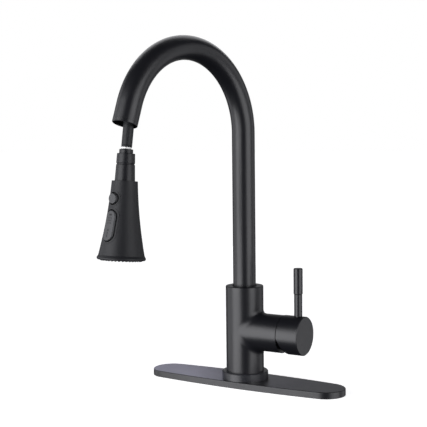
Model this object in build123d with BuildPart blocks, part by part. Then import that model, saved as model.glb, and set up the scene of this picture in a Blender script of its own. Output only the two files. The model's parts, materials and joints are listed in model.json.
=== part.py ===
from build123d import *
from math import atan2, cos, radians, sin
import os

# Single-handle pull-down kitchen faucet with a deck plate, in millimetres.
# Origin: centre of the deck plate's underside, on the body axis. +Z up, +X towards the handle,
# -Y towards the sink.

os.makedirs("parts", exist_ok=True)

# ---------------------------------------------------------------- driving dimensions
FIT = 0.05                    # radial running fit of turning and sliding pieces

PLATE_LENGTH, PLATE_WIDTH, PLATE_HEIGHT = 267.0, 60.0, 8.0
PLATE_END_R = 24.5            # radius of the plate's ends; its long sides are bowed
PLATE_WALL = 2.5

BODY_R, BODY_FOOT_Z, BODY_TOP_Z = 23.25, 17.2, 123.0
RING_R = 28.5
SHANK_R, SHANK_BORE_R, SHANK_END_Z = 16.5, 14.75, -48.0
SHANK_TOP_Z = 27.0
COUNTER = 20.0                # thickness of the counter the faucet clamps on
PORT_R = 10.6                 # the three water ports stand on this circle round the hose
DRILLING_R = 2.8

HANDLE_Z = 67.0               # height of the branch and of the cartridge axis
BRANCH_R, BRANCH_END_X = 23.0, 54.6
BRANCH_FILLET = 4.0
POCKET_R, POCKET_FLOOR_X = 18.2, 20.0
CAP_R, CAP_REAR_X, CAP_END_X = 23.5, 55.4, 83.0
TILT_X = 55.0                 # the handle tilts about a pin at this distance from the body axis
STEM_ARM, STEM_TIP_R = 10.7, 2.5   # the stem's ball tip moves the ceramic disc
CAP_BEVEL = 23.0              # degrees, relief of the cap's lower rear edge
LEVER_X, LEVER_TOP_Z, GRIP_FOOT_Z = 74.0, 148.5, 117.5
LEVER_R, GRIP_R = 4.9, 5.5

SPOUT_R, SPOUT_BORE_R = 14.0, 13.0
SWIVEL = 10.0                 # degrees, spout turned from -Y towards -X
ARCH_R, ARCH_Z = 98.0, 310.0
MOUTH_TILT = 18.8             # degrees between the mouth's axis and the vertical
MOUTH_RUN = 22.8              # straight length between the arch and the mouth
SOCKET_R, SOCKET_FLOOR_Z = 15.0, 79.5
TUBE_FOOT_Z = 92.0
RING_HEIGHT, RING_SPIGOT_R = 4.0, 13.5   # the mouth's end ring and the spigot it fits by

HOSE_R, HOSE_BORE_R = 5.4, 3.6
FERRULE_R, FERRULE_LENGTH, FERRULE_TILT = 5.9, 30.0, 8.6
BALL_R, BALL_DEPTH, STEM_R = 3.6, 2.5, 2.0
BALL_U, BALL_Z = 196.5, 290.9  # ball centre in the spout's plane: reach and height
STEM_GAP = 4.7                # from the ball centre up to the ferrule's foot

HEAD_TILT = 4.9               # degrees between the hanging head and the vertical
NECK_FOOT = 34.0              # lengths down the head are measured from its top
SHELL_FOOT, RIM_FOOT = 114.3, 119.3
SHELL_TOP_R, SHELL_MID_R, SHELL_FOOT_R = 14.1, 18.1, 25.1
SHELL_MID = 75.0
SHELL_WALL = 2.0
RIM_R = 26.6
PAUSE_AT, PAUSE_R, PAUSE_FACE = 53.5, 5.5, 17.6
PAUSE_BEZEL_R = 8.4
ROCKER_AT, ROCKER_LENGTH, ROCKER_WIDTH = 82.5, 32.5, 13.5
ROCKER_PIN_X, ROCKER_PROUD = 11.8, 1.3
NOZZLE_RINGS = ((22.0, 36), (17.0, 26), (12.0, 18))
NOZZLE_R = 1.0

# ---------------------------------------------------------------- directions and planes
UP = Vector(0, 0, 1)
OUT = Vector(-sin(radians(SWIVEL)), -cos(radians(SWIVEL)), 0)
SIDE = OUT.cross(UP)


def in_spout(reach, height):
    """A point of the spout's middle plane."""
    return OUT * reach + UP * height


def side_plane(point, tilt):
    """The spout's middle plane at a point, with its own Y up along an axis tilted outwards below."""
    front = OUT * cos(radians(tilt)) + UP * sin(radians(tilt))
    return Plane(origin=point, x_dir=front, z_dir=SIDE)


def cross_plane(plane):
    """The plane square to a side plane's axis: X to the front, Z up the axis."""
    return Plane(origin=plane.origin, x_dir=plane.x_dir, z_dir=plane.y_dir)


def front_plane(plane, down):
    """The plane square to a side plane's X, a length down its axis: its normal faces the front."""
    return Plane(origin=plane.origin - plane.y_dir * down, x_dir=plane.z_dir, z_dir=plane.x_dir)


UPRIGHT = Plane.XZ
BRANCH = Plane(origin=(0, 0, HANDLE_Z), x_dir=(0, 0, 1), z_dir=(0, 1, 0))
ARC_END = in_spout(ARCH_R * (1 + cos(radians(MOUTH_TILT))), ARCH_Z + ARCH_R * sin(radians(MOUTH_TILT)))
MOUTH = side_plane(ARC_END - side_plane(ARC_END, MOUTH_TILT).y_dir * MOUTH_RUN, MOUTH_TILT)
BALL = in_spout(BALL_U, BALL_Z)
FERRULE = side_plane(BALL + side_plane(BALL, FERRULE_TILT).y_dir * STEM_GAP, FERRULE_TILT)
HEAD = side_plane(BALL + side_plane(BALL, HEAD_TILT).y_dir * BALL_DEPTH, HEAD_TILT)


# ---------------------------------------------------------------- shared shapes
def turned(plane, *outline, mode=Mode.ADD):
    """Turns an outline of (radius, height) points about the plane's own Y."""
    with BuildSketch(plane) as section:
        with BuildLine():
            Polyline(*outline, close=True)
        make_face()
    revolve(section.sketch, axis=Axis(plane.origin, plane.y_dir), mode=mode)


def ring(plane, inner, outer, low, high, mode=Mode.ADD):
    """A plain ring or, with an inner radius of 0, a disc about the plane's own Y."""
    turned(plane, (inner, low), (outer, low), (outer, high), (inner, high), mode=mode)


def oval(length, width, end_r):
    """A long oval: round ends joined by bowed sides, all tangent."""
    half, side = length / 2 - end_r, width / 2
    bow_r = (half**2 + side**2 - end_r**2) / (2 * (side - end_r))
    turn = atan2(bow_r - side, half)
    corner_x, corner_y = half + end_r * cos(turn), end_r * sin(turn)
    with BuildSketch() as outline:
        with BuildLine():
            ThreePointArc((corner_x, -corner_y), (length / 2, 0), (corner_x, corner_y))
            ThreePointArc((corner_x, corner_y), (0, side), (-corner_x, corner_y))
            ThreePointArc((-corner_x, corner_y), (-length / 2, 0), (-corner_x, -corner_y))
            ThreePointArc((-corner_x, -corner_y), (0, -side), (corner_x, -corner_y))
        make_face()
    return outline.sketch


def threaded(plane, core_r, crest_r, low, high, pitch):
    """Ring-shaped thread crests round a rod, from low to high along the plane's Y."""
    count = int((high - low) / pitch)
    for turn in range(count):
        foot = low + turn * pitch
        turned(
            plane,
            (core_r - 0.2, foot),
            (core_r, foot),
            (crest_r, foot + 0.4 * pitch),
            (crest_r, foot + 0.6 * pitch),
            (core_r, foot + pitch),
            (core_r - 0.2, foot + pitch),
        )


def save(piece, name):
    """Labels a finished piece and writes it as one STEP file."""
    piece.part.label = name
    export_step(piece.part, f"parts/{name}.step")


# ---------------------------------------------------------------- deck plate and base
with BuildPart() as deck_plate:
    extrude(oval(PLATE_LENGTH, PLATE_WIDTH, PLATE_END_R), amount=PLATE_HEIGHT)
    fillet(deck_plate.edges().group_by(Axis.Z)[-1], 1.0)
    inset = 2 * PLATE_WALL
    extrude(
        oval(PLATE_LENGTH - inset, PLATE_WIDTH - inset, PLATE_END_R - PLATE_WALL),
        amount=PLATE_HEIGHT - PLATE_WALL,
        mode=Mode.SUBTRACT,
    )
    ring(UPRIGHT, 0, 24.0, 0, PLATE_HEIGHT - PLATE_WALL)
    for rib_x in (-70, 70):
        with Locations((rib_x, 0, (PLATE_HEIGHT - PLATE_WALL) / 2)):
            Box(3, 48, PLATE_HEIGHT - PLATE_WALL)
    Cylinder(SHANK_R + 0.7, 40, mode=Mode.SUBTRACT)
save(deck_plate, "deck_plate")

with BuildPart() as deck_gasket:
    outer_cut, inner_cut = 2 * PLATE_WALL + 0.6, 2 * PLATE_WALL + 3.4
    extrude(oval(PLATE_LENGTH - outer_cut, PLATE_WIDTH - outer_cut, PLATE_END_R - outer_cut / 2), amount=2.4)
    extrude(
        oval(PLATE_LENGTH - inner_cut, PLATE_WIDTH - inner_cut, PLATE_END_R - inner_cut / 2),
        amount=2.4,
        mode=Mode.SUBTRACT,
    )
    for rib_x in (-70, 70):
        with Locations((rib_x, 0, 1.2)):
            Box(3.6, 50, 2.4, mode=Mode.SUBTRACT)
save(deck_gasket, "deck_gasket")

with BuildPart() as base_ring:
    turned(
        UPRIGHT,
        (SHANK_R + 0.7, PLATE_HEIGHT),
        (RING_R, PLATE_HEIGHT),
        (RING_R, BODY_FOOT_Z - 0.8),
        (RING_R - 0.8, BODY_FOOT_Z),
        (20.15, BODY_FOOT_Z),
        (20.15, 12.4),
        (SHANK_R + 0.7, 12.4),
    )
    ring(UPRIGHT, 21.0, 25.0, PLATE_HEIGHT, PLATE_HEIGHT + 1.6, mode=Mode.SUBTRACT)
save(base_ring, "base_ring")

with BuildPart() as base_seal:
    ring(UPRIGHT, 21.2, 24.8, PLATE_HEIGHT, PLATE_HEIGHT + 1.5)
save(base_seal, "base_seal")

# ---------------------------------------------------------------- valve body
# Each water way is a drilling up from a port and a drilling across to the cartridge's floor.
WATER_WAYS = {
    "hot": (45.0, 60.0),
    "cold": (100.0, 73.5),
    "mixed": (-90.0, HANDLE_Z),
}


def port_place(name):
    """The middle of a water port, seen from above."""
    turn = radians(WATER_WAYS[name][0])
    return PORT_R * cos(turn), PORT_R * sin(turn)


with BuildPart() as valve_body:
    turned(
        UPRIGHT,
        (0, 12.5),
        (20.05, 12.5),
        (20.05, BODY_FOOT_Z),
        (BODY_R, BODY_FOOT_Z),
        (BODY_R, BODY_TOP_Z - 0.5),
        (BODY_R - 0.5, BODY_TOP_Z),
        (0, BODY_TOP_Z),
    )
    turned(BRANCH, (0, 0), (BRANCH_R, 0), (BRANCH_R, BRANCH_END_X - 0.4), (BRANCH_R - 0.4, BRANCH_END_X),
           (0, BRANCH_END_X))
    fillet(valve_body.edges().filter_by(GeomType.BSPLINE), BRANCH_FILLET)
    ring(UPRIGHT, 0, SOCKET_R, SOCKET_FLOOR_Z, BODY_TOP_Z, mode=Mode.SUBTRACT)
    ring(UPRIGHT, 0, 6.8, SHANK_TOP_Z, SOCKET_FLOOR_Z, mode=Mode.SUBTRACT)
    ring(UPRIGHT, 0, SHANK_R + FIT, 12.5, SHANK_TOP_Z, mode=Mode.SUBTRACT)
    ring(BRANCH, 0, POCKET_R, POCKET_FLOOR_X, BRANCH_END_X, mode=Mode.SUBTRACT)
    ring(BRANCH, 0, 20.2, 47.0, BRANCH_END_X, mode=Mode.SUBTRACT)
    for way, (angle, level) in WATER_WAYS.items():
        port_x, port_y = port_place(way)
        with BuildSketch(Plane.XY.offset(SHANK_TOP_Z)) as upright_hole:
            with Locations((port_x, port_y)):
                Circle(DRILLING_R)
        extrude(upright_hole.sketch, amount=level - SHANK_TOP_Z, mode=Mode.SUBTRACT)
        with BuildSketch(Plane.XY.offset(SHANK_TOP_Z)) as thread_hole:
            with Locations((port_x, port_y)):
                Circle(3.8)
        extrude(thread_hole.sketch, amount=9, mode=Mode.SUBTRACT)
        with BuildSketch(Plane.YZ.offset(POCKET_FLOOR_X)) as cross_hole:
            with Locations((port_y, level)):
                Circle(DRILLING_R)
        extrude(cross_hole.sketch, amount=port_x - POCKET_FLOOR_X, mode=Mode.SUBTRACT)
    with BuildSketch(Plane.XZ.offset(-BODY_R - 1)) as screw_hole:
        with Locations((0, 86)):
            Circle(2.5)
    extrude(screw_hole.sketch, amount=BODY_R - SOCKET_R + 2, mode=Mode.SUBTRACT)
save(valve_body, "valve_body")

with BuildPart() as spout_set_screw:
    screw = Plane(origin=(0, 0, 86), x_dir=(1, 0, 0), z_dir=(0, 0, 1))
    turned(screw, (0, 12.8), (1.6, 12.8), (1.6, 14.8), (2.4, 15.4), (2.4, 22.6), (0, 22.6))
    with BuildSketch(Plane.XZ.offset(-22.6)) as key:
        with Locations((0, 86)):
            RegularPolygon(1.25, 6, major_radius=False)
    extrude(key.sketch, amount=3, mode=Mode.SUBTRACT)
save(spout_set_screw, "spout_set_screw")

for name, low in (("swivel_ring_lower", 94.0), ("swivel_ring_upper", 112.5)):
    with BuildPart() as swivel_ring:
        ring(UPRIGHT, SPOUT_R + FIT, SOCKET_R - FIT, low, low + 8)
    save(swivel_ring, name)

# ---------------------------------------------------------------- under the deck
with BuildPart() as shank:
    ring(UPRIGHT, SHANK_BORE_R, SHANK_R - 0.8, SHANK_END_Z, SHANK_TOP_Z - 0.1)
    ring(UPRIGHT, SHANK_BORE_R, SHANK_R, -4, SHANK_TOP_Z - 0.1)
    threaded(UPRIGHT, SHANK_R - 0.8, SHANK_R, SHANK_END_Z, -4, 2.0)
save(shank, "shank")

with BuildPart() as rubber_washer:
    ring(UPRIGHT, SHANK_R + 0.3, 27.0, -COUNTER - 3, -COUNTER)
save(rubber_washer, "rubber_washer")

with BuildPart() as steel_washer:
    ring(UPRIGHT, SHANK_R + 0.3, 27.0, -COUNTER - 5, -COUNTER - 3)
save(steel_washer, "steel_washer")

NUT_TOP = -COUNTER - 7.0
with BuildPart() as mounting_nut:
    ring(UPRIGHT, SHANK_R + 0.1, 22.0, NUT_TOP - 12, NUT_TOP)
    with PolarLocations(24.5, 3):
        with Locations((0, 0, NUT_TOP - 6)):
            Box(11, 12, 12)
    with PolarLocations(25.5, 3):
        with Locations((0, 0, NUT_TOP - 6)):
            Cylinder(2.6, 14, mode=Mode.SUBTRACT)
    ring(UPRIGHT, 0, SHANK_R + 0.1, NUT_TOP - 13, NUT_TOP + 1, mode=Mode.SUBTRACT)
save(mounting_nut, "mounting_nut")

with BuildPart() as clamp_screws:
    with PolarLocations(25.5, 3):
        with Locations((0, 0, NUT_TOP - 7.5)):
            Cylinder(2.5, 19)
        with Locations((0, 0, NUT_TOP - 18.5)):
            Cylinder(4.2, 4)
        with Locations((0, 0, NUT_TOP - 20)):
            Box(5.5, 1, 1.2, mode=Mode.SUBTRACT)
save(clamp_screws, "clamp_screws")

for way in WATER_WAYS:
    port_x, port_y = port_place(way)
    nipple = Plane(origin=(port_x, port_y, 0), x_dir=(1, 0, 0), z_dir=(0, -1, 0))
    with BuildPart() as port_nipple:
        turned(
            nipple,
            (2.2, 12),
            (3.3, 12),
            (3.6, 14),
            (3.3, 14.3),
            (3.6, 17),
            (3.3, 17.3),
            (3.3, 19),
            (3.9, 19),
            (3.9, SHANK_TOP_Z),
            (3.75, SHANK_TOP_Z),
            (3.75, SHANK_TOP_Z + 8.5),
            (2.2, SHANK_TOP_Z + 8.5),
        )
    save(port_nipple, f"{way}_port_nipple")

with BuildPart() as spray_hose_lower:
    ring(UPRIGHT, HOSE_BORE_R, HOSE_R, -72, 81)
save(spray_hose_lower, "spray_hose_lower")

with BuildPart() as hose_connector:
    turned(UPRIGHT, (2.6, -102), (6.0, -102), (6.0, -94), (9.0, -92), (9.0, -76), (7.4, -72), (2.6, -72))
    with BuildSketch(Plane.XY.offset(-92)) as flats:
        RegularPolygon(9.6, 6, major_radius=False)
        Circle(8.9, mode=Mode.SUBTRACT)
    extrude(flats.sketch, amount=7)
save(hose_connector, "hose_connector")

# ---------------------------------------------------------------- cartridge
with BuildPart() as cartridge_base:
    ring(BRANCH, 0, 17.6, 21.2, 24.5)
    for way, (angle, level) in WATER_WAYS.items():
        with BuildSketch(Plane.YZ.offset(20)) as base_hole:
            with Locations((port_place(way)[1], level)):
                Circle(DRILLING_R)
        extrude(base_hole.sketch, amount=6, mode=Mode.SUBTRACT)
save(cartridge_base, "cartridge_base")

with BuildPart() as cartridge_seals:
    for way, (angle, level) in WATER_WAYS.items():
        with BuildSketch(Plane.YZ.offset(POCKET_FLOOR_X)) as seal:
            with Locations((port_place(way)[1], level)):
                Circle(4.2)
                Circle(DRILLING_R, mode=Mode.SUBTRACT)
        extrude(seal.sketch, amount=1.15)
save(cartridge_seals, "cartridge_seals")

with BuildPart() as cartridge_housing:
    turned(BRANCH, (16.0, 24.6), (17.6, 24.6), (17.6, 46.4), (16.6, 47.0), (16.6, 49.0), (10.6, 49.0),
           (10.6, 46.4), (16.0, 46.4))
save(cartridge_housing, "cartridge_housing")

with BuildPart() as fixed_disc:
    ring(BRANCH, 0, 15.8, 24.6, 28.6)
    for way, (angle, level) in WATER_WAYS.items():
        with BuildSketch(Plane.YZ.offset(24)) as disc_hole:
            with Locations((port_place(way)[1] * 0.85, HANDLE_Z + (level - HANDLE_Z) * 0.85)):
                Circle(DRILLING_R)
        extrude(disc_hole.sketch, amount=6, mode=Mode.SUBTRACT)
save(fixed_disc, "fixed_disc")

with BuildPart() as moving_disc:
    ring(BRANCH, 0, 11.6, 28.65, 32.6)
    with BuildSketch(Plane.YZ.offset(28.6)) as kidney:
        with Locations((0, HANDLE_Z)):
            SlotOverall(17, 7)
    extrude(kidney.sketch, amount=2.2, mode=Mode.SUBTRACT)
    ring(BRANCH, 0, 8.0, 32.6, 37.0)
    ring(BRANCH, 0, 3.45, 37.0, 46.0)
    ring(BRANCH, 0, STEM_TIP_R + 0.1, 41.0, 46.0, mode=Mode.SUBTRACT)
save(moving_disc, "moving_disc")

with BuildPart() as cartridge_carrier:
    ring(BRANCH, 0, 16.0 - 0.08, 38.2, 46.2)
    ring(BRANCH, 0, 10.5, 46.2, 58.4)
    with BuildSketch(Plane.YZ.offset(38)) as stem_slot:
        with Locations((0, HANDLE_Z)):
            Rectangle(7.2, 18.5)
    extrude(stem_slot.sketch, amount=22, mode=Mode.SUBTRACT)
    with BuildSketch(Plane.XZ.offset(-12)) as pin_hole:
        with Locations((TILT_X, HANDLE_Z)):
            Circle(1.5)
    extrude(pin_hole.sketch, amount=24, mode=Mode.SUBTRACT)
save(cartridge_carrier, "cartridge_carrier")

with BuildPart() as tilt_pin:
    with BuildSketch(Plane.XZ.offset(-9.6)) as pin_section:
        with Locations((TILT_X, HANDLE_Z)):
            Circle(1.5)
    extrude(pin_section.sketch, amount=19.2)
save(tilt_pin, "tilt_pin")

with BuildPart() as handle_stem:
    with BuildSketch(Plane.YZ.offset(47)) as stem_section:
        with Locations((0, HANDLE_Z)):
            Rectangle(7.0, 7.0)
    extrude(stem_section.sketch, amount=24)
    ring(BRANCH, 0, 1.8, TILT_X - STEM_ARM, 47)
    with Locations((TILT_X - STEM_ARM, 0, HANDLE_Z)):
        Sphere(STEM_TIP_R)
    with BuildSketch(Plane.XZ.offset(-12)) as bearing:
        with Locations((TILT_X, HANDLE_Z)):
            Circle(1.5 + FIT)
    extrude(bearing.sketch, amount=24, mode=Mode.SUBTRACT)
save(handle_stem, "handle_stem")

with BuildPart() as cartridge_nut:
    turned(BRANCH, (16.8, 47.2), (20.1, 47.2), (20.1, 54.0), (14.0, 54.0), (14.0, 49.3), (16.8, 49.3))
    with BuildSketch(Plane.YZ.offset(51.5)) as wrench_slots:
        with Locations((0, HANDLE_Z)):
            with PolarLocations(15.0, 6):
                Rectangle(3.5, 3.5)
    extrude(wrench_slots.sketch, amount=3, mode=Mode.SUBTRACT)
save(cartridge_nut, "cartridge_nut")

with BuildPart() as trim_dome:
    with BuildSketch(BRANCH) as dome_section:
        with BuildLine():
            Line((11.6, 54.1), (19.6, 54.1))
            Line((19.6, 54.1), (19.4, 54.9))
            ThreePointArc((19.4, 54.9), (16.2, 57.0), (11.6, 58.2))
            Line((11.6, 58.2), (11.6, 54.1))
        make_face()
    revolve(dome_section.sketch, axis=Axis(BRANCH.origin, BRANCH.y_dir))
save(trim_dome, "trim_dome")

# ---------------------------------------------------------------- handle
with BuildPart() as handle_cap:
    turned(
        BRANCH,
        (0, 75.0),
        (20.6, 75.0),
        (20.6, CAP_REAR_X),
        (CAP_R, CAP_REAR_X),
        (CAP_R, CAP_END_X - 0.7),
        (CAP_R - 0.7, CAP_END_X),
        (0, CAP_END_X),
    )
    with BuildSketch(Plane.XZ.offset(30)) as relief:
        with BuildLine():
            drop = CAP_R + 4
            lean = drop * sin(radians(CAP_BEVEL)) / cos(radians(CAP_BEVEL))
            Polyline(
                (CAP_REAR_X - 1, HANDLE_Z - 1.2),
                (CAP_REAR_X, HANDLE_Z - 1.2),
                (CAP_REAR_X + lean, HANDLE_Z - 1.2 - drop),
                (CAP_REAR_X - 1, HANDLE_Z - 1.2 - drop),
                close=True,
            )
        make_face()
    extrude(relief.sketch, amount=-60, mode=Mode.SUBTRACT)
    ring(BRANCH, 0, 8.0, 65.0, 75.0)
    with BuildSketch(Plane.YZ.offset(64)) as stem_socket:
        with Locations((0, HANDLE_Z)):
            Rectangle(7.1, 7.1)
    extrude(stem_socket.sketch, amount=7.2, mode=Mode.SUBTRACT)
    with BuildSketch(Plane.XY.offset(HANDLE_Z + 7)) as lever_hole:
        with Locations((LEVER_X, 0)):
            Circle(4.0)
    extrude(lever_hole.sketch, amount=30, mode=Mode.SUBTRACT)
    with BuildSketch(Plane.XY.offset(HANDLE_Z)) as screw_way:
        with Locations((68.0, 0)):
            Circle(2.0)
    extrude(screw_way.sketch, amount=-(CAP_R + 1), mode=Mode.SUBTRACT)
save(handle_cap, "handle_cap")

with BuildPart() as lever_rod:
    lever = Plane(origin=(LEVER_X, 0, 0), x_dir=(1, 0, 0), z_dir=(0, -1, 0))
    cap_top = HANDLE_Z + CAP_R
    turned(
        lever,
        (0, HANDLE_Z + 7.4),
        (3.9, HANDLE_Z + 7.4),
        (3.9, cap_top + 0.4),
        (LEVER_R, cap_top + 0.4),
        (LEVER_R, GRIP_FOOT_Z - 0.4),
        (3.5, GRIP_FOOT_Z - 0.4),
        (3.5, GRIP_FOOT_Z + 14),
        (0, GRIP_FOOT_Z + 14),
    )
save(lever_rod, "lever_rod")

with BuildPart() as lever_grip:
    turned(
        lever,
        (3.6, GRIP_FOOT_Z),
        (GRIP_R - 0.4, GRIP_FOOT_Z),
        (GRIP_R, GRIP_FOOT_Z + 0.6),
        (GRIP_R, LEVER_TOP_Z - 0.6),
        (GRIP_R - 0.6, LEVER_TOP_Z),
        (0, LEVER_TOP_Z),
        (0, GRIP_FOOT_Z + 14.2),
        (3.6, GRIP_FOOT_Z + 14.2),
    )
save(lever_grip, "lever_grip")

with BuildPart() as handle_set_screw:
    grub = Plane(origin=(68.0, 0, 0), x_dir=(1, 0, 0), z_dir=(0, -1, 0))
    turned(grub, (0, HANDLE_Z - 3.6), (1.9, HANDLE_Z - 3.6), (1.9, HANDLE_Z - 12), (0, HANDLE_Z - 12))
    with BuildSketch(Plane.XY.offset(HANDLE_Z - 12)) as grub_key:
        with Locations((68.0, 0)):
            RegularPolygon(1.0, 6, major_radius=False)
    extrude(grub_key.sketch, amount=3, mode=Mode.SUBTRACT)
save(handle_set_screw, "handle_set_screw")

with BuildPart() as index_plug:
    turned(grub, (0, HANDLE_Z - 19), (1.95, HANDLE_Z - 19), (1.95, HANDLE_Z - CAP_R + 0.15),
           (0, HANDLE_Z - CAP_R + 0.15))
save(index_plug, "index_plug")

# ---------------------------------------------------------------- spout
# One bent tube, drawn as its riser, its arch and its outlet, so that each gets collision of its own shape.
def tube_run(name, plane, *points):
    """A run of the spout's tube: a straight through two points or an arc through three."""
    with BuildPart() as run:
        with BuildLine() as run_path:
            if len(points) == 2:
                Line(*points)
            else:
                ThreePointArc(*points)
        with BuildSketch(plane) as tube_section:
            Circle(SPOUT_R)
            Circle(SPOUT_BORE_R, mode=Mode.SUBTRACT)
        sweep(tube_section.sketch, path=run_path.line)
        ring(MOUTH, 0, RING_SPIGOT_R, 3, 7, mode=Mode.SUBTRACT)
    save(run, name)


arch_foot = in_spout(0, ARCH_Z)
half_turn = radians(180 - MOUTH_TILT) / 2
arch_middle = in_spout(ARCH_R * (1 - cos(half_turn)), ARCH_Z + ARCH_R * sin(half_turn))
tube_run("spout_riser", Plane.XY.offset(TUBE_FOOT_Z), in_spout(0, TUBE_FOOT_Z), arch_foot)
tube_run("spout_arch", Plane.XY.offset(ARCH_Z), arch_foot, arch_middle, ARC_END)
outlet_section = Plane(origin=ARC_END, x_dir=MOUTH.x_dir, z_dir=-MOUTH.y_dir)
tube_run("spout_outlet", outlet_section, ARC_END, MOUTH.origin + MOUTH.y_dir * RING_HEIGHT)

with BuildPart() as mouth_ring:
    turned(MOUTH, (SPOUT_BORE_R, 0), (SPOUT_R - 0.6, 0), (SPOUT_R, 0.6), (SPOUT_R, RING_HEIGHT),
           (RING_SPIGOT_R - 0.05, RING_HEIGHT), (RING_SPIGOT_R - 0.05, 6.9), (SPOUT_BORE_R, 6.9))
save(mouth_ring, "mouth_ring")

with BuildPart() as spout_foot:
    turned(
        UPRIGHT,
        (9.0, 80.5),
        (SPOUT_R, 80.5),
        (SPOUT_R, 84.0),
        (12.4, 84.0),
        (12.4, 88.0),
        (SPOUT_R, 88.0),
        (SPOUT_R, TUBE_FOOT_Z),
        (12.95, TUBE_FOOT_Z),
        (12.95, 106.0),
        (9.0, 106.0),
    )
save(spout_foot, "spout_foot")

# ---------------------------------------------------------------- spray hose above the body
# The hose follows the arch in equal turns and leans on the mouth's lower lip.
HOSE_TURNS = 6
HOSE_LAST_RUN = 30.0
hose_turn = radians(180 - FERRULE_TILT) / HOSE_TURNS
hose_end = FERRULE.origin + FERRULE.y_dir * (FERRULE_LENGTH + 0.1)
end_reach, end_height = hose_end.dot(OUT), hose_end.dot(UP)
reach_sum = sum(sin(k * hose_turn) for k in range(1, HOSE_TURNS))
height_sum = sum(cos(k * hose_turn) for k in range(1, HOSE_TURNS))
hose_run = (end_reach - HOSE_LAST_RUN * sin(radians(FERRULE_TILT))) / reach_sum
hose_bend_r = 0.499 * hose_run / (sin(hose_turn / 2) / cos(hose_turn / 2))
corner = end_height + HOSE_LAST_RUN * cos(radians(FERRULE_TILT)) - hose_run * height_sum
hose_points = [in_spout(0, 81.2), in_spout(0, corner)]
for k in range(1, HOSE_TURNS):
    step = in_spout(sin(k * hose_turn), cos(k * hose_turn)) * hose_run
    hose_points.append(hose_points[-1] + step)
hose_points.append(hose_end)

with BuildPart() as spray_hose:
    with BuildLine() as hose_path:
        FilletPolyline(*hose_points, radius=hose_bend_r)
    with BuildSketch(Plane.XY.offset(81.2)) as hose_section:
        Circle(HOSE_R)
        Circle(HOSE_BORE_R, mode=Mode.SUBTRACT)
    sweep(hose_section.sketch, path=hose_path.line)
save(spray_hose, "spray_hose")

with BuildPart() as hose_ferrule:
    turned(
        FERRULE,
        (STEM_R + FIT, 0),
        (FERRULE_R - 0.5, 0),
        (FERRULE_R, 0.5),
        (FERRULE_R, 1.7),
        (FERRULE_R - 0.35, 2.0),
        (FERRULE_R, 2.3),
        (FERRULE_R, FERRULE_LENGTH - 0.6),
        (FERRULE_R - 0.5, FERRULE_LENGTH),
        (2.6, FERRULE_LENGTH),
        (2.6, 12.2),
        (STEM_R + FIT, 12.2),
    )
save(hose_ferrule, "hose_ferrule")

with BuildPart() as ball_stem:
    turned(FERRULE, (0, -STEM_GAP), (STEM_R, -STEM_GAP), (STEM_R, 12), (0, 12))
    with Locations(Location(BALL)):
        Sphere(BALL_R)
    turned(FERRULE, (0, -STEM_GAP - 5), (1.1, -STEM_GAP - 5), (1.1, 13), (0, 13), mode=Mode.SUBTRACT)
save(ball_stem, "ball_stem")

with BuildPart() as retaining_clip:
    ring(FERRULE, STEM_R + 0.45, FERRULE_R - 0.5, -1.95, -0.02)
    gap_side = cross_plane(FERRULE)
    with BuildSketch(gap_side.offset(-2)) as clip_gap:
        with Locations(Location((0, 0, 0), (0, 0, 42))):
            with Locations((5, 0)):
                Rectangle(7, 0.6)
    extrude(clip_gap.sketch, amount=3, mode=Mode.SUBTRACT)
save(retaining_clip, "retaining_clip")

# ---------------------------------------------------------------- spray head
with BuildPart() as ball_nut:
    turned(
        HEAD,
        (3.45, -1.2),
        (6.1, -1.2),
        (6.1, 0),
        (7.1, 0),
        (7.5, -0.4),
        (7.5, -4.4),
        (6.9, -4.4),
        (6.9, -12.0),
        (5.3, -12.0),
        (5.3, -3.7),
        (BALL_R + FIT, -3.7),
        (BALL_R + FIT, -1.9),
    )
save(ball_nut, "ball_nut")

with BuildPart() as ball_seat:
    ring(HEAD, 1.8, 5.2, -10.6, -6.2)
save(ball_seat, "ball_seat")

with BuildPart() as head_neck:
    turned(
        HEAD,
        (6.95, -4.45),
        (9.4, -4.45),
        (9.8, -4.85),
        (10.2, -14.8),
        (9.6, -15.4),
        (9.6, -16.2),
        (10.2, -16.8),
        (11.0, -NECK_FOOT + 0.1),
        (10.4, -NECK_FOOT + 0.1),
        (10.4, -42.0),
        (5.2, -42.0),
        (5.2, -12.2),
        (6.95, -12.2),
    )
save(head_neck, "head_neck")


def shell_section(grow, inner_grow, low, high):
    """The shell's flared wall between two offsets of its outer face, as a section in the head's plane."""
    with BuildSketch(HEAD) as section:
        with BuildLine():
            outer = ThreePointArc(
                (SHELL_TOP_R + grow, -low),
                (SHELL_MID_R + grow, -SHELL_MID),
                (SHELL_FOOT_R + grow, -high),
            )
            inner = ThreePointArc(
                (SHELL_TOP_R + inner_grow, -low),
                (SHELL_MID_R + inner_grow, -SHELL_MID),
                (SHELL_FOOT_R + inner_grow, -high),
            )
            Line(outer @ 0, inner @ 0)
            Line(outer @ 1, inner @ 1)
        make_face()
    return section.sketch


HEAD_AXIS = Axis(HEAD.origin, HEAD.y_dir)
PAUSE = front_plane(HEAD, PAUSE_AT)
ROCKER = front_plane(HEAD, ROCKER_AT)


def window(plane, shape, start, end, mode):
    """Cuts or keeps a window's shape between two distances in front of the head's axis."""
    extrude(Plane(origin=plane.origin + plane.z_dir * start, x_dir=plane.x_dir, z_dir=plane.z_dir) * shape,
            amount=end - start, mode=mode)


def slot_shape(length, width):
    """An upright slot, round at both ends."""
    with BuildSketch() as outline:
        SlotOverall(length, width, rotation=90)
    return outline.sketch


def round_shape(outer, inner=0):
    """A disc or, with an inner radius, a ring."""
    with BuildSketch() as outline:
        Circle(outer)
        if inner:
            Circle(inner, mode=Mode.SUBTRACT)
    return outline.sketch


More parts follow.
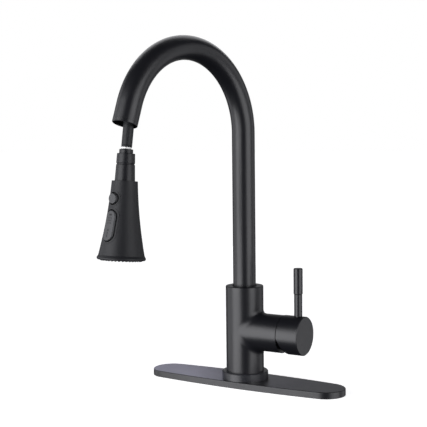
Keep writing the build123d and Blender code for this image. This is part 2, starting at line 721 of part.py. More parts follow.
with BuildPart() as head_shell:
    revolve(shell_section(0, -SHELL_WALL, NECK_FOOT + 0.1, SHELL_FOOT), axis=HEAD_AXIS)
    ring(HEAD, 10.45, SHELL_TOP_R - 1, -NECK_FOOT - 2.6, -NECK_FOOT - 0.1)
    window(PAUSE, round_shape(PAUSE_BEZEL_R + 0.05), 0, 30, Mode.SUBTRACT)
    window(ROCKER, slot_shape(ROCKER_LENGTH + 6.1, ROCKER_WIDTH + 6.1), 0, 40, Mode.SUBTRACT)
save(head_shell, "head_shell")

with BuildPart() as pause_bezel:
    revolve(shell_section(0.3, -SHELL_WALL, NECK_FOOT + 0.1, SHELL_FOOT), axis=HEAD_AXIS)
    window(PAUSE, round_shape(PAUSE_BEZEL_R, PAUSE_R + 1.5), 8, 30, Mode.INTERSECT)
    window(PAUSE, round_shape(PAUSE_BEZEL_R - 0.6, PAUSE_R + FIT), 10.2, 12.0, Mode.ADD)
save(pause_bezel, "pause_bezel")

with BuildPart() as pause_button:
    window(PAUSE, round_shape(PAUSE_R), 9.0, PAUSE_FACE, Mode.ADD)
    fillet(pause_button.edges().sort_by(Axis(PAUSE.origin, PAUSE.z_dir))[-1], 0.5)
save(pause_button, "pause_button")

with BuildPart() as rocker_bezel:
    revolve(shell_section(0.3, -SHELL_WALL, NECK_FOOT + 0.1, SHELL_FOOT), axis=HEAD_AXIS)
    window(ROCKER, slot_shape(ROCKER_LENGTH + 6, ROCKER_WIDTH + 6), 0, 40, Mode.INTERSECT)
    window(ROCKER, slot_shape(ROCKER_LENGTH + 2.4, ROCKER_WIDTH + 2.6), 0, 40, Mode.SUBTRACT)
save(rocker_bezel, "rocker_bezel")

with BuildPart() as mode_rocker:
    revolve(shell_section(ROCKER_PROUD, -3.2, NECK_FOOT + 0.1, SHELL_FOOT), axis=HEAD_AXIS)
    window(ROCKER, slot_shape(ROCKER_LENGTH, ROCKER_WIDTH), 0, 40, Mode.INTERSECT)
    pin_axis = Plane(
        origin=ROCKER.origin + ROCKER.z_dir * ROCKER_PIN_X - ROCKER.x_dir * 5,
        x_dir=ROCKER.z_dir,
        z_dir=ROCKER.x_dir,
    )
    with BuildSketch(pin_axis) as pin_boss:
        Circle(2.6)
        with Locations((2.5, 0)):
            Rectangle(5, 5.2)
    extrude(pin_boss.sketch, amount=10)
    extrude(pin_axis.offset(-3) * round_shape(1.25 + FIT), amount=16, mode=Mode.SUBTRACT)
save(mode_rocker, "mode_rocker")

with BuildPart() as rocker_pin:
    extrude(pin_axis.offset(-3) * round_shape(1.25), amount=16)
save(rocker_pin, "rocker_pin")

with BuildPart() as spray_core:
    turned(
        HEAD,
        (4.0, -42.6),
        (9.0, -42.6),
        (9.0, -104.0),
        (21.6, -108.0),
        (21.6, -111.8),
        (4.0, -111.8),
    )
    window(PAUSE, round_shape(PAUSE_R + 0.7), 5.5, 20, Mode.SUBTRACT)
    window(ROCKER, slot_shape(ROCKER_LENGTH + 2, 21), 8.0, 20, Mode.SUBTRACT)
    for side_sign in (-1, 1):
        lug = Plane(
            origin=ROCKER.origin + ROCKER.z_dir * 6 + ROCKER.x_dir * side_sign * 6.6,
            x_dir=ROCKER.x_dir,
            z_dir=ROCKER.z_dir,
        )
        with BuildSketch(lug) as lug_section:
            Rectangle(2.0, 6.0)
        extrude(lug_section.sketch, amount=ROCKER_PIN_X - 6 + 1.7)
    extrude(pin_axis.offset(-4) * round_shape(1.25 + 0.02), amount=18, mode=Mode.SUBTRACT)
save(spray_core, "spray_core")

with BuildPart() as nozzle_pad:
    ring(HEAD, 6.0, 22.6, -115.6, -112.0)
    pad_foot = Plane(origin=HEAD.origin - HEAD.y_dir * 115.5, x_dir=HEAD.x_dir, z_dir=-HEAD.y_dir)
    for ring_r, count in NOZZLE_RINGS:
        with BuildSketch(pad_foot) as nozzles:
            with PolarLocations(ring_r, count):
                Circle(NOZZLE_R)
        extrude(nozzles.sketch, amount=4.9, taper=4)
save(nozzle_pad, "nozzle_pad")

with BuildPart() as spray_face:
    turned(HEAD, (6.3, -115.7), (23.4, -115.7), (23.4, -118.3), (6.3, -118.3))
    for ring_r, count in NOZZLE_RINGS:
        with BuildSketch(pad_foot) as nozzle_holes:
            with PolarLocations(ring_r, count):
                Circle(NOZZLE_R + 0.1)
        extrude(nozzle_holes.sketch, amount=4, mode=Mode.SUBTRACT)
save(spray_face, "spray_face")

with BuildPart() as rim_ring:
    turned(
        HEAD,
        (23.5, -SHELL_FOOT - 0.1),
        (SHELL_FOOT_R, -SHELL_FOOT - 0.1),
        (RIM_R, -117.0),
        (RIM_R, -118.2),
        (RIM_R - 0.9, -RIM_FOOT),
        (23.5, -RIM_FOOT),
    )
save(rim_ring, "rim_ring")

with BuildPart() as aerator:
    ring(HEAD, 4.6, 5.9, -119.0, -112.0)
    ring(HEAD, 0, 4.7, -118.4, -117.6)
    aerator_face = Plane(origin=HEAD.origin - HEAD.y_dir * 117, x_dir=HEAD.x_dir, z_dir=-HEAD.y_dir)
    with BuildSketch(aerator_face) as mesh_holes:
        with HexLocations(0.75, 5, 5):
            Circle(0.5)
    extrude(mesh_holes.sketch, amount=2, mode=Mode.SUBTRACT)
save(aerator, "aerator")
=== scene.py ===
import json
from math import cos, pi, radians, sin, sqrt, tan

import bmesh
import bpy
import numpy as np
from mathutils import Matrix, Vector


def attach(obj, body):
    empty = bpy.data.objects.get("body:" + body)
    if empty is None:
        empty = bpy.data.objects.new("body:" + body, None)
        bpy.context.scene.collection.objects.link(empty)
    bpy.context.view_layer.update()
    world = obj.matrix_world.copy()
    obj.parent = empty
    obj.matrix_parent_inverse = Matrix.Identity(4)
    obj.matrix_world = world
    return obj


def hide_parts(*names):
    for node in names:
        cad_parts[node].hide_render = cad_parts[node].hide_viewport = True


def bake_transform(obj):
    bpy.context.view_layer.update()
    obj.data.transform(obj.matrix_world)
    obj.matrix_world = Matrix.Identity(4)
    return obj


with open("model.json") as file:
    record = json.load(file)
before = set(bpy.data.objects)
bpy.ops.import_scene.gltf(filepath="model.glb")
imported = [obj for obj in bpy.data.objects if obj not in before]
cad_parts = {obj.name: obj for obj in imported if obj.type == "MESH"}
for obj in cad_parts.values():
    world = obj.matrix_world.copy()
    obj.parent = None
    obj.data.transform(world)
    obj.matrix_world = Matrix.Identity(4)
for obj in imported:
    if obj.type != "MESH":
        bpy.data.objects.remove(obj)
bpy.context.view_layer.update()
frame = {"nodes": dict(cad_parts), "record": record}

# A matte black pull-down kitchen faucet round its CAD frame. Lengths below are millimetres, turned to
# metres where a mesh is made.
MM = 0.001
NODES = frame["nodes"]

# ---------------------------------------------------------------- places shared with the CAD
SWIVEL = radians(10.0)
UP = Vector((0, 0, 1))
OUT = Vector((-sin(SWIVEL), -cos(SWIVEL), 0))
SIDE = OUT.cross(UP)
SPOUT_R, BORE_R = 14.0, 13.0
ARCH_R, ARCH_Z = 98.0, 310.0
TUBE_FOOT = 92.0
BODY_R, BRANCH_R, BRANCH_Z = 23.25, 23.0, 67.0
MOUTH_TILT, MOUTH_RUN = radians(18.8), 22.8
MOUTH_AT = (
    ARCH_R * (1 + cos(MOUTH_TILT)) + MOUTH_RUN * sin(MOUTH_TILT),
    ARCH_Z + ARCH_R * sin(MOUTH_TILT) - MOUTH_RUN * cos(MOUTH_TILT),
)
RING_HEIGHT = 4.0
BALL_AT = (196.5, 290.9)
FERRULE_TILT, HEAD_TILT = radians(8.6), radians(4.9)
STEM_GAP, BALL_DEPTH = 4.7, 2.5
FERRULE_LENGTH = 30.0
HOSE_R, HOSE_BORE_R = 5.4, 3.6
HOSE_FOOT_Z, HOSE_JOIN_Z = -72.0, 81.2
SHELL_ARC = ((34.1, 14.1), (75.0, 18.1), (114.3, 25.1))
ROCKER_AT, ROCKER_LENGTH, ROCKER_WIDTH = 82.5, 32.5, 13.5

# ---------------------------------------------------------------- fineness of the meshes
SHARP = radians(35)
TUBE_SIDES = 96
ARCH_STEPS = 96
HOSE_TURNS, HOSE_LAST_RUN = 9, 17.0
PULL_ZONE, DOCK_ZONE = 9.0, 100.0
RISER_STEP, BEND_STEP, END_STEP = 4.0, 1.0, 0.2
HOSE_GAP = 0.1
BRAID_STRANDS = 12
FILM_VOXEL, FILM_STEPS, FILM_REACH, FILM_SKIN = 0.8, 110, 13.0, 0.03


def along(reach_height, tilt, distance):
    """A point of the spout's plane moved up an axis that leans back by tilt."""
    return reach_height[0] - distance * sin(tilt), reach_height[1] + distance * cos(tilt)


def local_frame(reach_height, tilt):
    """Frame of a turned piece in the spout's plane: X to the front, Z up its axis, in millimetres."""
    reach, height = reach_height
    front = OUT * cos(tilt) + UP * sin(tilt)
    axis = UP * cos(tilt) - OUT * sin(tilt)
    matrix = Matrix((front, axis.cross(front), axis)).transposed().to_4x4()
    matrix.translation = OUT * reach + UP * height
    return matrix


HEAD = local_frame(along(BALL_AT, HEAD_TILT, BALL_DEPTH), HEAD_TILT)


# ---------------------------------------------------------------- materials
def node_material(name):
    """An empty node material with its shader and tree."""
    material = bpy.data.materials.new(name)
    material.use_nodes = True
    tree = material.node_tree
    return material, tree, tree.nodes["Principled BSDF"]


def noise(tree, scale, detail=2.0, stretch=None):
    """Noise in the piece's own coordinates, so that it stays on the piece at any pose."""
    coords = tree.nodes.new("ShaderNodeTexCoord")
    texture = tree.nodes.new("ShaderNodeTexNoise")
    texture.inputs["Scale"].default_value = scale
    texture.inputs["Detail"].default_value = detail
    if stretch:
        mapping = tree.nodes.new("ShaderNodeMapping")
        mapping.inputs["Scale"].default_value = stretch
        tree.links.new(coords.outputs["Object"], mapping.inputs["Vector"])
        tree.links.new(mapping.outputs["Vector"], texture.inputs["Vector"])
    else:
        tree.links.new(coords.outputs["Object"], texture.inputs["Vector"])
    return texture.outputs["Fac"]


def spread(tree, value, low, high):
    """A noise value mapped from its middle range to low..high."""
    node = tree.nodes.new("ShaderNodeMapRange")
    node.inputs["From Min"].default_value = 0.3
    node.inputs["From Max"].default_value = 0.7
    node.inputs["To Min"].default_value = low
    node.inputs["To Max"].default_value = high
    tree.links.new(value, node.inputs["Value"])
    return node.outputs["Result"]


def bump(tree, value, depth, under=None):
    node = tree.nodes.new("ShaderNodeBump")
    node.inputs["Distance"].default_value = depth
    tree.links.new(value, node.inputs["Height"])
    if under:
        tree.links.new(under, node.inputs["Normal"])
    return node.outputs["Normal"]


def two_tone(tree, value, dark, light):
    node = tree.nodes.new("ShaderNodeMix")
    node.data_type = "RGBA"
    node.inputs["A"].default_value = (*dark, 1)
    node.inputs["B"].default_value = (*light, 1)
    tree.links.new(value, node.inputs["Factor"])
    return node.outputs["Result"]


def finish_material(
    name, dark, light, rough, grain, depth, metallic=0.0, specular=0.5, stretch=None, coat=0.0
):
    """A surface with mottled colour and roughness over a fine grain of the given size and depth."""
    material, tree, shader = node_material(name)
    cloud = noise(tree, 22.0, 4.0)
    fine = noise(tree, grain, 3.0, stretch)
    tree.links.new(two_tone(tree, cloud, dark, light), shader.inputs["Base Color"])
    tree.links.new(spread(tree, cloud, *rough), shader.inputs["Roughness"])
    tree.links.new(bump(tree, fine, depth), shader.inputs["Normal"])
    shader.inputs["Metallic"].default_value = metallic
    shader.inputs["Specular IOR Level"].default_value = specular
    shader.inputs["Coat Weight"].default_value = coat
    return material


def calculated(tree, operation, first, second=None, third=None):
    """One step of arithmetic on numbers or other steps."""
    node = tree.nodes.new("ShaderNodeMath")
    node.operation = operation
    for place, value in enumerate((first, second, third)):
        if isinstance(value, (int, float)):
            node.inputs[place].default_value = value
        elif value is not None:
            tree.links.new(value, node.inputs[place])
    return node.outputs["Value"]


def braid_material(name, dark, light):
    """Woven sheath: two sets of strands cross at 45 degrees. They are placed by the turn about the hose,
    kept in the mesh, and by the height along the way that the hose pulls out, so they don't stretch."""
    material, tree, shader = node_material(name)
    turn = tree.nodes.new("ShaderNodeUVMap")
    turn.uv_map = "around"
    parts = tree.nodes.new("ShaderNodeSeparateXYZ")
    tree.links.new(turn.outputs["UV"], parts.inputs["Vector"])
    coords = tree.nodes.new("ShaderNodeTexCoord")
    height = tree.nodes.new("ShaderNodeVectorMath")
    height.operation = "DOT_PRODUCT"
    height.inputs[1].default_value = UP * cos(FERRULE_TILT) - OUT * sin(FERRULE_TILT)
    tree.links.new(coords.outputs["Object"], height.inputs[0])
    around = calculated(tree, "MULTIPLY", parts.outputs["X"], 2 * pi * BRAID_STRANDS)
    rise = calculated(tree, "MULTIPLY", height.outputs["Value"], BRAID_STRANDS / (HOSE_R * MM))
    left = calculated(tree, "SINE", calculated(tree, "ADD", around, rise))
    right = calculated(tree, "SINE", calculated(tree, "SUBTRACT", around, rise))
    weave = calculated(tree, "MULTIPLY_ADD", calculated(tree, "MULTIPLY", left, right), 0.5, 0.5)
    fine = noise(tree, 2600, 3.0)
    tree.links.new(two_tone(tree, weave, dark, light), shader.inputs["Base Color"])
    tree.links.new(spread(tree, fine, 0.42, 0.58), shader.inputs["Roughness"])
    tree.links.new(bump(tree, weave, 0.0004, bump(tree, fine, 0.00005)), shader.inputs["Normal"])
    return material


MATERIALS = {
    "black_metal": finish_material(
        "black_metal", (0.0055, 0.0057, 0.0077), (0.0085, 0.0088, 0.0112), (0.32, 0.38), 1400, 0.00004
    ),
    "black_trim": finish_material(
        "black_trim", (0.006, 0.0062, 0.008), (0.009, 0.0092, 0.011), (0.30, 0.36), 1400, 0.00003
    ),
    "black_coat": finish_material(
        "black_coat", (0.0055, 0.0057, 0.0077), (0.0085, 0.0088, 0.0112),
        (0.36, 0.42), 1400, 0.00004, specular=0.34,
    ),
    "black_plastic": finish_material(
        "black_plastic", (0.0085, 0.009, 0.0108), (0.0115, 0.012, 0.014),
        (0.47, 0.55), 2200, 0.00005, specular=0.31,
    ),
    "button_plastic": finish_material(
        "button_plastic", (0.042, 0.043, 0.046), (0.052, 0.053, 0.056),
        (0.46, 0.54), 2200, 0.00004, specular=0.4,
    ),
    "rubber": finish_material(
        "rubber", (0.014, 0.014, 0.015), (0.022, 0.022, 0.023), (0.6, 0.75), 1500, 0.00008
    ),
    "steel": finish_material(
        "steel", (0.50, 0.50, 0.51), (0.62, 0.62, 0.63), (0.22, 0.34), 300, 0.00003, 1.0, stretch=(12, 1, 1)
    ),
    "brass": finish_material(
        "brass", (0.60, 0.43, 0.17), (0.72, 0.54, 0.25), (0.22, 0.36), 500, 0.00004, 1.0, stretch=(1, 1, 10)
    ),
    "grey_plastic": finish_material(
        "grey_plastic", (0.17, 0.17, 0.18), (0.22, 0.22, 0.23), (0.42, 0.52), 1800, 0.00005
    ),
    "ceramic": finish_material(
        "ceramic", (0.80, 0.79, 0.76), (0.87, 0.86, 0.83), (0.08, 0.14), 900, 0.00001
    ),
    "white_nylon": finish_material(
        "white_nylon", (0.80, 0.80, 0.78), (0.88, 0.88, 0.86), (0.35, 0.45), 1500, 0.00003
    ),
    "hose_sheath": braid_material("hose_sheath", (0.008, 0.008, 0.010), (0.030, 0.030, 0.034)),
}

for row in frame["record"]["subparts"]:
    mesh = NODES[row["node"]].data
    mesh.materials.clear()
    mesh.materials.append(MATERIALS[row["material_slot"]])

# ---------------------------------------------------------------- mesh helpers
def skin(rings, closed=False):
    """Points and quads over rings of points, each ring closed on itself. Closed also joins the last ring
    to the first."""
    count = len(rings[0])
    faces = []
    for row in range(len(rings) - (0 if closed else 1)):
        near, far = row * count, (row + 1) % len(rings) * count
        for k in range(count):
            step = (k + 1) % count
            faces.append((near + k, near + step, far + step, far + k))
    return [point for ring in rings for point in ring], faces


def piece(name, points, faces, slot, body=None, stands_for=()):
    """A finished piece from points in millimetres, smooth but for its sharp edges, that rides on a body."""
    mesh = bpy.data.meshes.new(name)
    mesh.from_pydata([point * MM for point in points], [], faces)
    work = bmesh.new()
    work.from_mesh(mesh)
    bmesh.ops.recalc_face_normals(work, faces=work.faces)
    work.to_mesh(mesh)
    work.free()
    mesh.shade_smooth()
    mesh.set_sharp_from_angle(angle=SHARP)
    mesh.materials.append(MATERIALS[slot])
    made = bpy.data.objects.new(name, mesh)
    bpy.context.scene.collection.objects.link(made)
    if stands_for:
        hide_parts(*stands_for)
    if body:
        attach(made, body)
    return made


def circle(centre, across, beside, radius, count=TUBE_SIDES):
    """A ring of points about a centre, in the plane of two unit directions."""
    turns = [2 * pi * k / count for k in range(count)]
    return [centre + (across * cos(turn) + beside * sin(turn)) * radius for turn in turns]


def swept(line, outer, inner, lip=0.2):
    """A tube's skin along points of the spout's plane, outside and inside, with its ends broken."""
    frames = []
    for k, point in enumerate(line):
        before, after = line[max(k - 1, 0)], line[min(k + 1, len(line) - 1)]
        ahead = (after - before).normalized()
        frames.append((point, ahead.cross(SIDE).normalized(), ahead))
    first, last = frames[0], frames[-1]
    rings = [circle(first[0], first[1], SIDE, outer - lip)]
    rings += [circle(first[0] + first[2] * lip, first[1], SIDE, outer)]
    rings += [circle(point, across, SIDE, outer) for point, across, _ in frames[1:-1]]
    rings += [circle(last[0] - last[2] * lip, last[1], SIDE, outer)]
    rings += [circle(last[0], last[1], SIDE, outer - lip), circle(last[0], last[1], SIDE, inner)]
    rings += [circle(point, across, SIDE, inner) for point, across, _ in reversed(frames[1:-1])]
    rings += [circle(first[0], first[1], SIDE, inner)]
    return skin(rings, closed=True)


# ---------------------------------------------------------------- spout tube
def spout_line():
    """The spout's middle line: up, over in one arc, and straight on to the mouth ring."""
    line = [OUT * 0 + UP * TUBE_FOOT, UP * (TUBE_FOOT + 1), UP * (ARCH_Z - 1)]
    arc_span = pi - MOUTH_TILT
    for step in range(ARCH_STEPS + 1):
        turn = pi - arc_span * step / ARCH_STEPS
        line.append(OUT * (ARCH_R + ARCH_R * cos(turn)) + UP * (ARCH_Z + ARCH_R * sin(turn)))
    for distance in (RING_HEIGHT + 1, RING_HEIGHT):
        reach, height = along(MOUTH_AT, MOUTH_TILT, distance)
        line.append(OUT * reach + UP * height)
    return line


spout_tube = piece(
    "spout_tube",
    *swept(spout_line(), SPOUT_R, BORE_R),
    "black_metal",
    "spout",
    ("spout_riser", "spout_arch", "spout_outlet"),
)


# ---------------------------------------------------------------- spray hose
def hose_route():
    """The hose's middle line above the body: up the riser, round the inside of the arch in equal turns, and
    into the ferrule. It is one smooth spline."""
    turn = (pi - FERRULE_TILT) / HOSE_TURNS
    reach, height = along(BALL_AT, FERRULE_TILT, STEM_GAP + FERRULE_LENGTH)
    across = sum(sin(k * turn) for k in range(1, HOSE_TURNS))
    run = (reach - HOSE_LAST_RUN * sin(FERRULE_TILT)) / across
    climb = sum(cos(k * turn) for k in range(1, HOSE_TURNS)) * run
    corner = height + HOSE_LAST_RUN * cos(FERRULE_TILT) - climb
    route = [(0.0, HOSE_JOIN_Z), (0.0, (HOSE_JOIN_Z + corner) / 2), (0.0, corner)]
    for k in range(1, HOSE_TURNS):
        route.append((route[-1][0] + run * sin(k * turn), route[-1][1] + run * cos(k * turn)))
    route.append((reach, height))
    data = bpy.data.curves.new("hose_route", "CURVE")
    data.dimensions = "3D"
    data.resolution_u = 24
    spline = data.splines.new("NURBS")
    spline.points.add(len(route) - 1)
    for point, (u, z) in zip(spline.points, route):
        point.co = (*(OUT * u + UP * z), 1)
    spline.order_u = 3
    spline.use_endpoint_u = True
    guide = bpy.data.objects.new("hose_route", data)
    line = [vertex.co.copy() for vertex in bpy.data.meshes.new_from_object(guide).vertices]
    bpy.data.objects.remove(guide)
    return line


def hose_run(line, start, end, gap):
    """The stretch of a line from one length along it to another, in points a gap apart."""
    marks, total = [0.0], 0.0
    for before, after in zip(line, line[1:]):
        total += (after - before).length
        marks.append(total)
    count = max(2, round((end - start) / gap))
    found, k = [], 0
    for step in range(count + 1):
        mark = min(start + (end - start) * step / count, total)
        while k < len(marks) - 2 and marks[k + 1] < mark:
            k += 1
        share = (mark - marks[k]) / (marks[k + 1] - marks[k])
        found.append(line[k].lerp(line[k + 1], share))
    return found


def hose_piece(name, line, body=None, stands_for=()):
    """A stretch of braided hose, with its turn about its own line kept for the braid."""
    points, faces = swept(line, HOSE_R, HOSE_BORE_R, 0.0)
    made = piece(name, points, faces, "hose_sheath", body, stands_for)
    around = made.data.uv_layers.new(name="around")
    for polygon in made.data.polygons:
        turns = [vertex % TUBE_SIDES for vertex in polygon.vertices]
        for loop, turn in zip(polygon.loop_indices, turns):
            wraps = turn == 0 and max(turns) == TUBE_SIDES - 1
            around.data[loop].uv = ((TUBE_SIDES if wraps else turn) / TUBE_SIDES, 0.0)
    return made


line = hose_route()
full = sum((after - before).length for before, after in zip(line, line[1:]))
hose_piece("hose_lower", [UP * HOSE_FOOT_Z, UP * (HOSE_JOIN_Z - HOSE_GAP)], "base", ("spray_hose_lower",))
pull_start = full - PULL_ZONE
dock_start = full - DOCK_ZONE
bend_run = hose_run(line, dock_start, pull_start, BEND_STEP)
end_run = hose_run(line, pull_start, full, END_STEP)
hose_piece("hose_riser", hose_run(line, 0, dock_start, RISER_STEP), "spout")
hose_bend = hose_piece("hose_bend", bend_run, None, ("spray_hose",))
hose_end = hose_piece("hose_end", end_run)
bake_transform(hose_bend)
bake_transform(hose_end)


# ---------------------------------------------------------------- soft fillet between branch and body
def round_bar(centre_a, centre_b, across, beside, radius):
    """A closed round bar as one ring at each end and a fan over each."""
    rings = [circle(centre, across, beside, radius) for centre in (centre_a, centre_b)]
    points, faces = skin(rings)
    faces += [tuple(range(TUBE_SIDES)), tuple(range(TUBE_SIDES, 2 * TUBE_SIDES))]
    return points, faces


def remeshed(points, faces, voxel):
    """Corners and faces of the single even skin round several overlapping closed shapes."""
    mesh = bpy.data.meshes.new("rough")
    mesh.from_pydata([point * MM for point in points], [], faces)
    rough = bpy.data.objects.new("rough", mesh)
    bpy.context.scene.collection.objects.link(rough)
    step = rough.modifiers.new("even", "REMESH")
    step.mode = "VOXEL"
    step.voxel_size = voxel * MM
    even = bpy.data.meshes.new_from_object(rough.evaluated_get(bpy.context.evaluated_depsgraph_get()))
    bpy.data.objects.remove(rough)
    return even


def outside(spots):
    """How far spots are outside the body and outside the branch, and the way out of each."""
    body_way = spots * (1, 1, 0)
    branch_way = (spots - (0, 0, BRANCH_Z)) * (0, 1, 1)
    body_reach = np.linalg.norm(body_way, axis=1)
    branch_reach = np.linalg.norm(branch_way, axis=1)
    return (
        body_reach - BODY_R,
        branch_reach - BRANCH_R,
        body_way / body_reach[:, None],
        branch_way / branch_reach[:, None],
    )


def branch_fillet():
    """The skin that bridges the corner between the two cylinders, drawn tight over both like a film."""
    across = Vector((1, 0, 0)), Vector((0, 1, 0))
    body_points, body_faces = round_bar(UP * (BRANCH_Z - 48), UP * (BRANCH_Z + 48), *across, BODY_R)
    middle = UP * BRANCH_Z
    branch_points, branch_faces = round_bar(middle, middle + across[0] * 50, across[1], UP, BRANCH_R)
    count = len(body_points)
    faces = body_faces + [tuple(count + corner for corner in face) for face in branch_faces]
    even = remeshed(body_points + branch_points, faces, FILM_VOXEL)
    spots = np.array([vertex.co for vertex in even.vertices], float) / MM
    ends = np.array([edge.vertices for edge in even.edges])
    both = np.concatenate((ends, ends[:, ::-1]))
    shares = np.bincount(both[:, 0], minlength=len(spots))[:, None]
    for _ in range(FILM_STEPS):
        drawn = np.stack([np.bincount(both[:, 0], spots[both[:, 1], k], len(spots)) for k in range(3)], 1)
        spots = spots + 0.5 * (drawn / shares - spots)
        body_gap, branch_gap, body_way, branch_way = outside(spots)
        corner = np.hypot(body_gap, branch_gap)
        free = np.clip((FILM_REACH - corner) / (0.4 * FILM_REACH), 0, 1)[:, None]
        on_body = (body_gap < branch_gap)[:, None]
        gap = np.where(on_body[:, 0], body_gap, branch_gap)[:, None]
        way = np.where(on_body, body_way, branch_way)
        pushed = np.where(gap < 0, spots - gap * way, spots)
        spots = free * pushed + (1 - free) * (spots - gap * way)
    body_gap, branch_gap, body_way, branch_way = outside(spots)
    lift = np.minimum(body_gap, branch_gap)
    near = np.hypot(body_gap, branch_gap) < 1.2 * FILM_REACH
    way = np.where((body_gap < branch_gap)[:, None], body_way, branch_way)
    spots = spots + way * np.where(lift < FILM_SKIN, FILM_SKIN - lift, 0)[:, None]
    raised = (lift > 0.004) & near & (spots[:, 0] > 0)
    kept = [list(face.vertices) for face in even.polygons if raised[list(face.vertices)].any()]
    used = sorted({corner for face in kept for corner in face})
    place = {corner: k for k, corner in enumerate(used)}
    made = piece(
        "branch_fillet",
        [Vector(spots[corner]) for corner in used],
        [tuple(place[corner] for corner in face) for face in kept],
        "black_metal",
        "base",
    )
    return made


branch_fillet()


# ---------------------------------------------------------------- spray head's rocker
def shell_radius(down):
    """The flared shell's radius a length down the head's axis, on the arc through its three measures."""
    (x1, y1), (x2, y2), (x3, y3) = SHELL_ARC
    double = 2 * (x1 * (y2 - y3) + x2 * (y3 - y1) + x3 * (y1 - y2))
    s1, s2, s3 = x1 * x1 + y1 * y1, x2 * x2 + y2 * y2, x3 * x3 + y3 * y3
    mid_x = (s1 * (y2 - y3) + s2 * (y3 - y1) + s3 * (y1 - y2)) / double
    mid_y = (s1 * (x3 - x2) + s2 * (x1 - x3) + s3 * (x2 - x1)) / double
    bend = (x1 - mid_x) ** 2 + (y1 - mid_y) ** 2
    return mid_y - sqrt(bend - (down - mid_x) ** 2)


def rocker_face(side, down, lift=0.0):
    """A point of the rocker's face: nearly flat across, and proudest at its lower end."""
    proud = 1.5 + 0.5 * down / (ROCKER_LENGTH / 2)
    front = shell_radius(ROCKER_AT + down) + proud - side * side / 90 + lift
    return HEAD @ Vector((front, side, -ROCKER_AT - down))


def slot_ring(length, width, inset):
    """Side and down of points round a slot with round ends, drawn in by an inset."""
    end_r, straight = width / 2 - inset, (length - width) / 2
    turns = [pi * k / 24 for k in range(25)]
    runs = [straight * (1 - k / 6) for k in range(1, 12)]
    ring = [(end_r * cos(turn), straight + end_r * sin(turn)) for turn in turns]
    ring += [(-end_r, run) for run in runs]
    ring += [(-end_r * cos(turn), -straight - end_r * sin(turn)) for turn in turns]
    ring += [(end_r, -run) for run in runs]
    return ring


def domed(rings):
    """The skin over rings, closed at the first ring and at the last by strips across it."""
    points, faces = skin(rings)
    count = len(rings[0])
    half = count // 2 - 1
    for foot in (0, (len(rings) - 1) * count):
        middle = 12
        for k in range(half):
            near, far = (middle + k) % count, (middle + k + 1) % count
            over, across = (middle - k - 1) % count, (middle - k) % count
            if k == 0:
                faces.append((foot + near, foot + far, foot + over))
            elif far != over:
                faces.append((foot + near, foot + far, foot + over, foot + across))
            else:
                faces.append((foot + near, foot + far, foot + across))
    return points, faces


EDGE_R = 0.9
rocker_rings = [[rocker_face(x, y, -4.6) for x, y in slot_ring(ROCKER_LENGTH, ROCKER_WIDTH, 0)]]
for step in range(7):
    turn = pi / 2 * step / 6
    inset, lift = EDGE_R * (1 - cos(turn)), EDGE_R * (sin(turn) - 1)
    rocker_rings.append([rocker_face(x, y, lift) for x, y in slot_ring(ROCKER_LENGTH, ROCKER_WIDTH, inset)])
for inset in (2.0, 3.4, 4.8, 6.0, 6.6):
    rocker_rings.append([rocker_face(x, y) for x, y in slot_ring(ROCKER_LENGTH, ROCKER_WIDTH, inset)])
piece("rocker_pad", *domed(rocker_rings), "button_plastic", "rocker", ("mode_rocker",))

# Raised marks: a spray head over three rows of drops, and a tap over one stream.
MARK_LIFT = 0.12
MARKS = [(0, -11.6, 4.4, 1.8, 0), (0, 4.8, 3.0, 1.7, 0), (0, 9.6, 1.1, 6.0, 0)]
MARKS += [(2.1 * k, -8.2 + 2.7 * row, 0.75, 1.8, 9 * k) for row in range(3) for k in (-1, 0, 1)]
mark_points, mark_faces = [], []
for side, down, wide, long, lean in MARKS:
    rings = []
    for inset, lift in ((0, -0.3), (0, MARK_LIFT - 0.05), (0.05, MARK_LIFT)):
        if long > wide:
            outline = slot_ring(long, wide, inset)
        else:
            outline = [(y, x) for x, y in slot_ring(wide, long, inset)]
        turn = radians(lean)
        rings.append(
            [
                rocker_face(
                    side + x * cos(turn) + y * sin(turn), down - x * sin(turn) + y * cos(turn), lift
                )
                for x, y in outline
            ]
        )
    points, faces = domed(rings)
    mark_faces += [tuple(len(mark_points) + corner for corner in face) for face in faces]
    mark_points += points
piece("rocker_marks", mark_points, mark_faces, "black_plastic", "rocker")

# ---------------------------------------------------------------- floor, light and camera
FLOOR = 40.0
bpy.ops.mesh.primitive_plane_add(size=FLOOR, location=(0, 0, 0))
floor = bpy.context.object
floor.name = "floor"
floor_material, floor_tree, floor_shader = node_material("floor_paint")
floor_shader.inputs["Base Color"].default_value = (0.86, 0.86, 0.865, 1)
floor_shader.inputs["Roughness"].default_value = 0.8
floor_shader.inputs["Emission Color"].default_value = (1, 1, 1, 1)
place = floor_tree.nodes.new("ShaderNodeTexCoord")
reach = floor_tree.nodes.new("ShaderNodeVectorMath")
reach.operation = "LENGTH"
glow = floor_tree.nodes.new("ShaderNodeMapRange")
glow.interpolation_type = "SMOOTHSTEP"
glow.inputs["From Min"].default_value = 0.5
glow.inputs["From Max"].default_value = 2.5
glow.inputs["To Min"].default_value = 0.80
glow.inputs["To Max"].default_value = 1.02
floor_tree.links.new(place.outputs["Object"], reach.inputs[0])
floor_tree.links.new(reach.outputs["Value"], glow.inputs["Value"])
floor_tree.links.new(glow.outputs["Result"], floor_shader.inputs["Emission Strength"])
floor.data.materials.append(floor_material)
floor.visible_glossy = False
floor.visible_diffuse = False
floor.visible_shadow = False

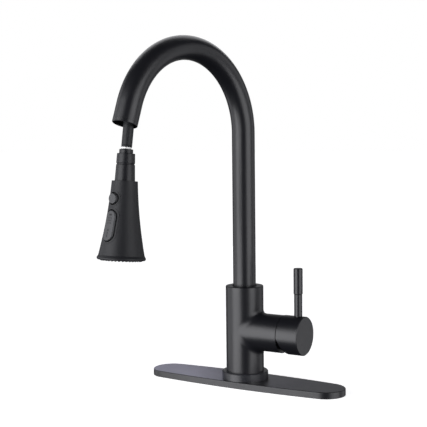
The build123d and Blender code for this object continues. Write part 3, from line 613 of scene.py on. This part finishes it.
world = bpy.data.worlds.new("studio")
world.use_nodes = True
bpy.context.scene.world = world
sky = world.node_tree
backdrop = sky.nodes["Background"]
backdrop.inputs["Color"].default_value = (1, 1, 1, 1)
backdrop.inputs["Strength"].default_value = 1.0
dim = sky.nodes.new("ShaderNodeBackground")
dim.inputs["Color"].default_value = (0.9, 0.93, 1.0, 1)
dim.inputs["Strength"].default_value = 0.03
seen = sky.nodes.new("ShaderNodeLightPath")
mixed = sky.nodes.new("ShaderNodeMixShader")
sky.links.new(seen.outputs["Is Camera Ray"], mixed.inputs["Fac"])
sky.links.new(dim.outputs["Background"], mixed.inputs[1])
sky.links.new(backdrop.outputs["Background"], mixed.inputs[2])
sky.links.new(mixed.outputs["Shader"], sky.nodes["World Output"].inputs["Surface"])

AIM = Vector((0.02, -0.06, 0.20))
BOX_DISTANCE = 1.6


def softbox(name, azimuth, elevation, wide, high, level, colour=(0.97, 0.97, 1.0), lit=None):
    """A rectangular softbox that faces the faucet, wide and high as seen from it in degrees. Azimuth 0 is
    the -Y side and 90 the +X side; level is how bright its face is. It lights the pieces in lit, or all."""
    light = bpy.data.lights.new(name, "AREA")
    light.shape = "RECTANGLE"
    light.size = 2 * BOX_DISTANCE * tan(radians(wide / 2))
    light.size_y = 2 * BOX_DISTANCE * tan(radians(high / 2))
    light.energy = level * pi * light.size * light.size_y
    light.color = colour
    lamp = bpy.data.objects.new(name, light)
    bpy.context.scene.collection.objects.link(lamp)
    turn, rise = radians(azimuth), radians(elevation)
    back = Vector((sin(turn) * cos(rise), -cos(turn) * cos(rise), sin(rise)))
    lamp.location = AIM + back * BOX_DISTANCE
    lamp.rotation_euler = back.to_track_quat("Z", "Y").to_euler()
    lamp.visible_camera = False
    if lit:
        lamp.light_linking.receiver_collection = lit


def lit_set(name, *pieces):
    """A collection of the pieces that a light is kept to."""
    chosen = bpy.data.collections.new(name)
    for made in pieces:
        chosen.objects.link(made)
    return chosen


plate_set = lit_set("plate_set", NODES["deck_plate"])
ring_set = lit_set("ring_set", NODES["base_ring"])
arch_set = lit_set("arch_set", spout_tube)
softbox("left_front_box", -24, 2, 54, 62, 4.1)
softbox("left_side_box", -77, 2, 46, 62, 1.1)
softbox("right_front_box", 84, 0, 50, 56, 2.8)
softbox("right_side_box", 142, 0, 34, 56, 0.8)
softbox("back_box", 235, 20, 44, 26, 2.1, (0.78, 0.77, 1.0), plate_set)
softbox("rear_box", 200, 8, 44, 50, 0.3)
softbox("arch_box", 214, 44, 60, 36, 1.55, lit=arch_set)
softbox("ring_left_box", -42, 20, 36, 40, 8.0, lit=ring_set)
softbox("ring_right_box", 72, 20, 36, 40, 6.5, lit=ring_set)

# The viewpoint: a long lens a little above the middle of the spout, seen from the handle's side.
VIEW_FROM = Vector((615.31, -1065.75, 302.22)) * MM
VIEW_YAW, VIEW_PITCH, VIEW_ROLL = radians(-31.743), radians(-4.177), radians(-0.6)
SENSOR, LENS = 36.0, 84.59
camera_data = bpy.data.cameras.new("camera")
camera_data.sensor_width = SENSOR
camera_data.lens = LENS
camera_data.clip_start, camera_data.clip_end = 0.05, 100.0
camera = bpy.data.objects.new("camera", camera_data)
bpy.context.scene.collection.objects.link(camera)
ahead = Vector((sin(VIEW_YAW) * cos(VIEW_PITCH), cos(VIEW_YAW) * cos(VIEW_PITCH), sin(VIEW_PITCH)))
level = Vector((cos(VIEW_YAW), -sin(VIEW_YAW), 0))
above = level.cross(ahead)
right = level * cos(VIEW_ROLL) + above * sin(VIEW_ROLL)
top = above * cos(VIEW_ROLL) - level * sin(VIEW_ROLL)
camera.matrix_world = Matrix((right, top, -ahead)).transposed().to_4x4()
camera.location = VIEW_FROM
bpy.context.scene.camera = camera
bpy.context.scene.view_settings.view_transform = "Standard"
